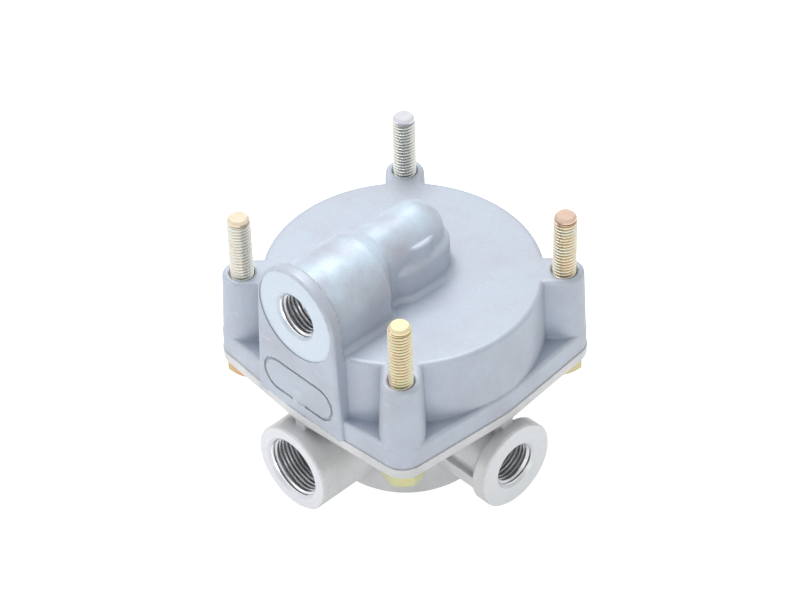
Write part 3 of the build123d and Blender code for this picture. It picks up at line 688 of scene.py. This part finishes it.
def finishCasting(node, shape):
    piece = frame["nodes"][node]
    piece.data.materials.clear()
    finishes = [shape["skin"], "cutMetal", *dict.fromkeys(shape["ports"].values())]
    for finish in finishes:
        piece.data.materials.append(materials[finish])
    ports = []
    for port, finish in shape["ports"].items():
        ports.append((*portMouth(port), mounts[port]["dims"]["r_mm"] / 1000,
                      machined["discRadius"][port], finishes.index(finish)))
    for face in piece.data.polygons:
        for mouth, out, boreRadius, discRadius, finish in ports:
            offset = face.center - mouth
            depth = offset.dot(out)
            radius = (offset - out * depth).length
            square = face.normal.dot(out) > machined["facing"]
            widest = boreRadius + machined["chamfer"] + machined["slack"]
            if abs(depth) < machined["faceReach"] and square and radius < discRadius:
                face.material_index = finish
            elif -machined["boreDepth"] < depth < 0 and radius < widest:
                face.material_index = finish if depth > -machined["chamfer"] else 1


for node, shape in casting.items():
    finishCasting(node, shape)
print("castings finished")


# threads: one pitch of the profile is wound round Z, then trimmed flat at both ends

def windThread(name, profile, pitch, turns, steps):
    dropSelection()
    bpy.ops.mesh.primitive_plane_add(size=pitch, location=(0, 0, 0))
    piece = bpy.context.object
    piece.name = piece.data.name = name
    bpy.ops.object.mode_set(mode="EDIT")
    bpy.ops.mesh.select_all(action="SELECT")
    bpy.ops.mesh.delete(type="ONLY_FACE")
    bpy.ops.object.mode_set(mode="OBJECT")
    mesh = piece.data
    order = [0, 1, 3, 2]  # the plane's corners in a row round its edge
    for corner, (radius, rise) in zip(order, profile):
        mesh.vertices[corner].co = (radius, 0, rise * pitch)
    for vertex in mesh.vertices:
        vertex.select = False
    for edge in mesh.edges:  # the edge that would close the profile goes
        edge.select = set(edge.vertices) == {order[0], order[-1]}
    bpy.ops.object.mode_set(mode="EDIT")
    bpy.ops.mesh.select_mode(type="EDGE")
    bpy.ops.mesh.delete(type="EDGE")
    bpy.ops.mesh.select_mode(type="VERT")
    bpy.ops.mesh.select_all(action="DESELECT")
    bpy.ops.object.mode_set(mode="OBJECT")
    last = max(mesh.vertices, key=lambda vertex: vertex.co.z)
    last.select = True
    bpy.ops.object.mode_set(mode="EDIT")
    bpy.ops.mesh.extrude_region_move(
        TRANSFORM_OT_translate={"value": (profile[0][0] - last.co.x, 0, pitch - last.co.z)})
    bpy.ops.object.mode_set(mode="OBJECT")
    useModifier(piece, "wind", "SCREW", axis="Z", angle=2 * math.pi, screw_offset=pitch,
                iterations=turns, steps=steps, render_steps=steps, use_merge_vertices=True,
                merge_threshold=pitch / 1000)
    return piece


def trimFlat(piece, level, keepAbove, fill):
    takeObject(piece)
    bpy.ops.object.mode_set(mode="EDIT")
    bpy.ops.mesh.select_all(action="SELECT")
    bpy.ops.mesh.bisect(plane_co=(0, 0, level), plane_no=(0, 0, 1), use_fill=fill,
                        clear_inner=keepAbove, clear_outer=not keepAbove)
    bpy.ops.object.mode_set(mode="OBJECT")


def outwardNormals(piece):
    takeObject(piece)
    bpy.ops.object.mode_set(mode="EDIT")
    bpy.ops.mesh.select_all(action="SELECT")
    bpy.ops.mesh.normals_make_consistent(inside=False)
    bpy.ops.object.mode_set(mode="OBJECT")


portThread = {
    "pitch": 0.0015,
    "crestDepth": 0.5413,  # share of the pitch
    "rises": (0, 0.3125, 0.5625, 0.875),  # corners of the profile along one pitch
    "lead": 1.5,  # pitches wound before the mouth
    "spareTurns": 2,
    "seat": 0.00002,
    "wall": 0.0004,
    "chamfer": 0.0009,
    "length": 0.0128,
    "entrySlope": 1.8,
    # the first ridges at the mouth take the painted highlight
    "paintedHighlightEntry": 0.0004,
    "finishes": ("threadCrestPaintedHighlight", "threadFlank", "threadRootPaintedShade"),
    "rootShare": 0.1,
    "crestShare": 0.9,
    "steps": 72,
    "smoothAngle": 25,
    "ports": {"supplyThread": "supply_port", "rightThread": "delivery_port_right",
              "leftThread": "delivery_port_left", "controlThread": "control_port"},
}


def makePortThread(name, port):
    shape = portThread
    mouth, out = portMouth(port)
    major = mounts[port]["dims"]["r_mm"] / 1000
    minor = major - shape["crestDepth"] * shape["pitch"]
    seat = major + shape["seat"]
    profile = list(zip((seat, minor, minor, seat), shape["rises"]))
    turns = math.ceil((shape["length"] + shape["chamfer"]) / shape["pitch"]) + shape["spareTurns"]
    piece = windThread(name, profile, shape["pitch"], turns, shape["steps"])
    piece.location.z = -shape["lead"] * shape["pitch"]
    settle(piece)
    start, stop = shape["chamfer"], shape["chamfer"] + shape["length"]
    trimFlat(piece, start, True, False)
    trimFlat(piece, stop, False, False)
    for vertex in piece.data.vertices:  # the mouth's cone cuts the first ridges
        radius = math.hypot(vertex.co.x, vertex.co.y)
        least = seat - (vertex.co.z - start) / shape["entrySlope"]
        if radius < least:
            vertex.co.x *= least / radius
            vertex.co.y *= least / radius
    takeObject(piece)
    bpy.ops.object.mode_set(mode="EDIT")
    bpy.ops.mesh.select_mode(type="EDGE")
    bpy.ops.mesh.select_all(action="DESELECT")
    bpy.ops.mesh.select_non_manifold()
    bpy.ops.mesh.extrude_edges_move()
    bpy.ops.object.mode_set(mode="OBJECT")
    for vertex in piece.data.vertices:
        if vertex.select:
            radius = math.hypot(vertex.co.x, vertex.co.y)
            vertex.co.x *= (major + shape["wall"]) / radius
            vertex.co.y *= (major + shape["wall"]) / radius
    bpy.ops.object.mode_set(mode="EDIT")
    bpy.ops.mesh.bridge_edge_loops()
    bpy.ops.object.mode_set(mode="OBJECT")
    outwardNormals(piece)
    piece.data.materials.clear()
    for finish in shape["finishes"]:
        piece.data.materials.append(materials[finish])
    ridge = major - minor
    for face in piece.data.polygons:  # z runs into the bore, so a flank that is seen faces down; painted highlight on crests and the entry, painted shade on roots and on flanks facing into the bore
        share = (major - math.hypot(face.center.x, face.center.y)) / ridge
        if start < face.center.z < start + shape["paintedHighlightEntry"]:
            face.material_index = 0
        elif share < shape["rootShare"] or (share < shape["crestShare"] and face.normal.z > 0):
            face.material_index = 2
        elif share < shape["crestShare"]:
            face.material_index = 1
    piece.matrix_world = Matrix.Translation(mouth) @ (-out).to_track_quat("Z", "Y").to_matrix().to_4x4()
    settle(piece)
    smoothBy(piece, shape["smoothAngle"])
    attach(piece, "housing")


for name, port in portThread["ports"].items():
    makePortThread(name, port)
print("port threads wound")


# cover bolts: a hex head below, a rolled thread up to the chamfered tip

coverBolt = {
    "pitch": 0.00125,
    "rootDepth": 0.6134,  # share of the pitch
    "rises": (0, 0.3125, 0.4375, 0.75),  # corners of the profile along one pitch
    "spareTurns": 2,
    "threadStart": 0.0740,
    "tipChamfer": 0.0008,
    "bandRadius": 0.0037,
    "overlap": 0.0005,
    "shankRadius": 0.0036,
    "shankChamfer": 0.0001,
    "roundSides": 64,
    "chamferAngle": 40,
    "headHeight": 0.0053,
    "headWidth": 0.0130,
    "crownAngle": 30,
    "crownRim": 0.0001,
    "crownSides": 96,
    "softenWidth": 0.00018,
    "softenAngle": 20,
    "steps": 56,
    "smoothAngle": 15,
    # name: side in x and y, turn of the head, finish of the shank and of the head
    "bolts": {
        "boltLeft": (-1, -1, 10, "champagneZinc", "amberZinc"),
        "boltBack": (-1, 1, 40, "silverZinc", "limeZinc"),
        "boltFront": (1, -1, 45, "goldZinc", "limeZinc"),
        "boltRight": (1, 1, 15, "roseZinc", "limeZinc"),
    },
}
coverBolt["radius"] = mounts["mounting_studs"]["dims"]["stud_r_mm"] / 1000


def makeBoltThread(bottom, top):
    shape = coverBolt
    root = shape["radius"] - shape["rootDepth"] * shape["pitch"]
    profile = list(zip((root, shape["radius"], shape["radius"], root), shape["rises"]))
    turns = math.ceil((top - bottom) / shape["pitch"]) + shape["spareTurns"]
    piece = windThread("boltThread", profile, shape["pitch"], turns, shape["steps"])
    piece.location.z = bottom - shape["pitch"]
    settle(piece)
    trimFlat(piece, bottom, True, False)
    trimFlat(piece, top, False, False)
    bpy.ops.object.mode_set(mode="EDIT")
    bpy.ops.mesh.select_all(action="SELECT")
    bpy.ops.mesh.remove_doubles(threshold=shape["pitch"] / 1000)
    bpy.ops.mesh.select_mode(type="EDGE")
    bpy.ops.mesh.select_all(action="DESELECT")
    bpy.ops.mesh.select_non_manifold()
    bpy.ops.mesh.fill_holes(sides=0)
    bpy.ops.object.mode_set(mode="OBJECT")
    outwardNormals(piece)
    return piece


def makeRound(bottom, top, radius, chamfer):
    dropSelection()
    bpy.ops.mesh.primitive_cylinder_add(
        vertices=coverBolt["roundSides"], radius=radius, depth=top - bottom,
        location=(0, 0, (bottom + top) / 2))
    piece = bpy.context.object
    settle(piece)
    useModifier(piece, "chamfer", "BEVEL", width=chamfer, segments=1, limit_method="ANGLE",
                angle_limit=math.radians(coverBolt["chamferAngle"]))
    return piece


def makeBoltHead(top, turn):
    shape = coverBolt
    halfSide = 30  # degrees from a hexagon's corner to the middle of its side
    corner = shape["headWidth"] / 2 / math.cos(math.radians(halfSide))
    dropSelection()
    bpy.ops.mesh.primitive_cylinder_add(
        vertices=6, radius=corner, depth=shape["headHeight"], location=(0, 0, top - shape["headHeight"] / 2),
        rotation=(0, 0, math.radians(turn - halfSide)))
    head = bpy.context.object
    settle(head)
    dropSelection()
    rim = shape["headWidth"] / 2 - shape["crownRim"]
    depth = 2 * shape["headHeight"]
    bpy.ops.mesh.primitive_cone_add(
        vertices=shape["crownSides"], radius1=rim,
        radius2=rim + depth / math.tan(math.radians(shape["crownAngle"])), depth=depth,
        location=(0, 0, top - shape["headHeight"] + depth / 2))
    crown = bpy.context.object
    settle(crown)
    useModifier(head, "crown", "BOOLEAN", operation="INTERSECT", object=crown, solver="EXACT")
    bpy.data.objects.remove(crown)
    useModifier(head, "soften", "BEVEL", width=shape["softenWidth"], segments=2, limit_method="ANGLE",
                angle_limit=math.radians(shape["softenAngle"]))
    return head


low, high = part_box("cover_bolts")
headTop = low.z + coverBolt["headHeight"]
threadStart, threadEnd = coverBolt["threadStart"], high.z - tipBand
overlap = coverBolt["overlap"]
thread = makeBoltThread(threadStart, threadEnd)
for name, (sideX, sideY, turn, shankFinish, headFinish) in coverBolt["bolts"].items():
    head = makeBoltHead(headTop, turn)
    shank = makeRound(headTop - overlap, threadStart + overlap, coverBolt["shankRadius"],
                      coverBolt["shankChamfer"])
    tip = makeRound(threadEnd - overlap, high.z, coverBolt["bandRadius"], coverBolt["tipChamfer"])
    ownThread = thread.copy()
    ownThread.data = thread.data.copy()
    bpy.context.scene.collection.objects.link(ownThread)
    for part in (shank, tip, ownThread, head):
        part.data.materials.clear()
        part.data.materials.append(materials[headFinish if part == head else shankFinish])
    dropSelection()
    for part in (shank, tip, ownThread, head):
        part.select_set(True)
    bpy.context.view_layer.objects.active = head
    bpy.ops.object.join()
    head.name = head.data.name = name
    head.location = (sideX * boltSpread, sideY * boltSpread, 0)
    settle(head)
    smoothBy(head, coverBolt["smoothAngle"])
    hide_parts("cover_bolts")
    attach(head, "housing")
bpy.data.objects.remove(thread)
print("cover bolts made")


# stage, lamps and camera

def seenWhite(tree):  # 1 where the camera, a reflection or a look through glass meets it
    ray = addNode(tree, "ShaderNodeLightPath", (-900, 0))
    seen = ray.outputs["Is Camera Ray"]
    for step, kind in enumerate(("Is Glossy Ray", "Is Transmission Ray")):
        either = addNode(tree, "ShaderNodeMath", (-700 + 170 * step, 0), operation="MAXIMUM")
        tree.links.new(seen, either.inputs[0])
        tree.links.new(ray.outputs[kind], either.inputs[1])
        seen = either.outputs["Value"]
    return seen


def makeStage():
    dropSelection()
    bpy.ops.mesh.primitive_plane_add(size=studio["floorSize"], location=(0, 0, 0))
    floor = bpy.context.object
    floor.name = "studioFloor"
    material = bpy.data.materials.new("paperFloor")
    material.use_nodes = True
    tree = material.node_tree
    link = tree.links.new
    tree.nodes.clear()
    end = addNode(tree, "ShaderNodeOutputMaterial", (600, 0))
    paper = addNode(tree, "ShaderNodeBsdfDiffuse", (0, 100))
    paper.inputs["Color"].default_value = (*([studio["floorWhite"]] * 3), 1)
    glow = addNode(tree, "ShaderNodeEmission", (0, -100))
    level = addNode(tree, "ShaderNodeMath", (-100, -250), operation="MULTIPLY")
    level.inputs[1].default_value = studio["floorGlow"]
    link(seenWhite(tree), level.inputs[0])
    link(level.outputs["Value"], glow.inputs["Strength"])
    both = addNode(tree, "ShaderNodeAddShader", (300, 0))
    link(paper.outputs["BSDF"], both.inputs[0])
    link(glow.outputs["Emission"], both.inputs[1])
    link(both.outputs["Shader"], end.inputs["Surface"])
    floor.data.materials.append(material)


def makeWorld():
    world = bpy.data.worlds.new("whiteRoom")
    bpy.context.scene.world = world
    world.use_nodes = True
    tree = world.node_tree
    link = tree.links.new
    sky = tree.nodes["Background"]
    level = addNode(tree, "ShaderNodeMapRange", (-350, 0))
    setInputs(level, {"To Min": studio["worldStrength"], "To Max": 1.0})
    link(seenWhite(tree), level.inputs["Value"])
    link(level.outputs["Result"], sky.inputs["Strength"])
    sky.inputs["Color"].default_value = (1, 1, 1, 1)


def makeLamps():
    for name, (place, size, watts) in studio["lamps"].items():
        dropSelection()
        bpy.ops.object.light_add(type="AREA", location=place)
        lamp = bpy.context.object
        lamp.name = name
        lamp.data.shape = "DISK"
        lamp.data.size = size
        lamp.data.energy = watts
        aim = Vector(studio["aim"]) - Vector(place)
        lamp.rotation_euler = aim.to_track_quat("-Z", "Y").to_euler()


def makeCamera():
    dropSelection()
    bpy.ops.object.camera_add(location=photoCamera["place"])
    camera = bpy.context.object
    camera.name = "photoCamera"
    camera.data.sensor_width = photoCamera["sensorWidth"]
    camera.data.lens = photoCamera["lens"]
    camera.data.clip_start, camera.data.clip_end = photoCamera["clip"]
    aim = Euler((math.radians(90 - photoCamera["elevation"]), 0, math.radians(photoCamera["azimuth"])))
    turned = aim.to_matrix() @ Matrix.Rotation(math.radians(photoCamera["roll"]), 3, "Z")
    camera.rotation_euler = turned.to_euler()
    bpy.context.scene.camera = camera


makeStage()
makeWorld()
makeLamps()
makeCamera()
bpy.context.scene.view_settings.view_transform = "Standard"
print("stage set")
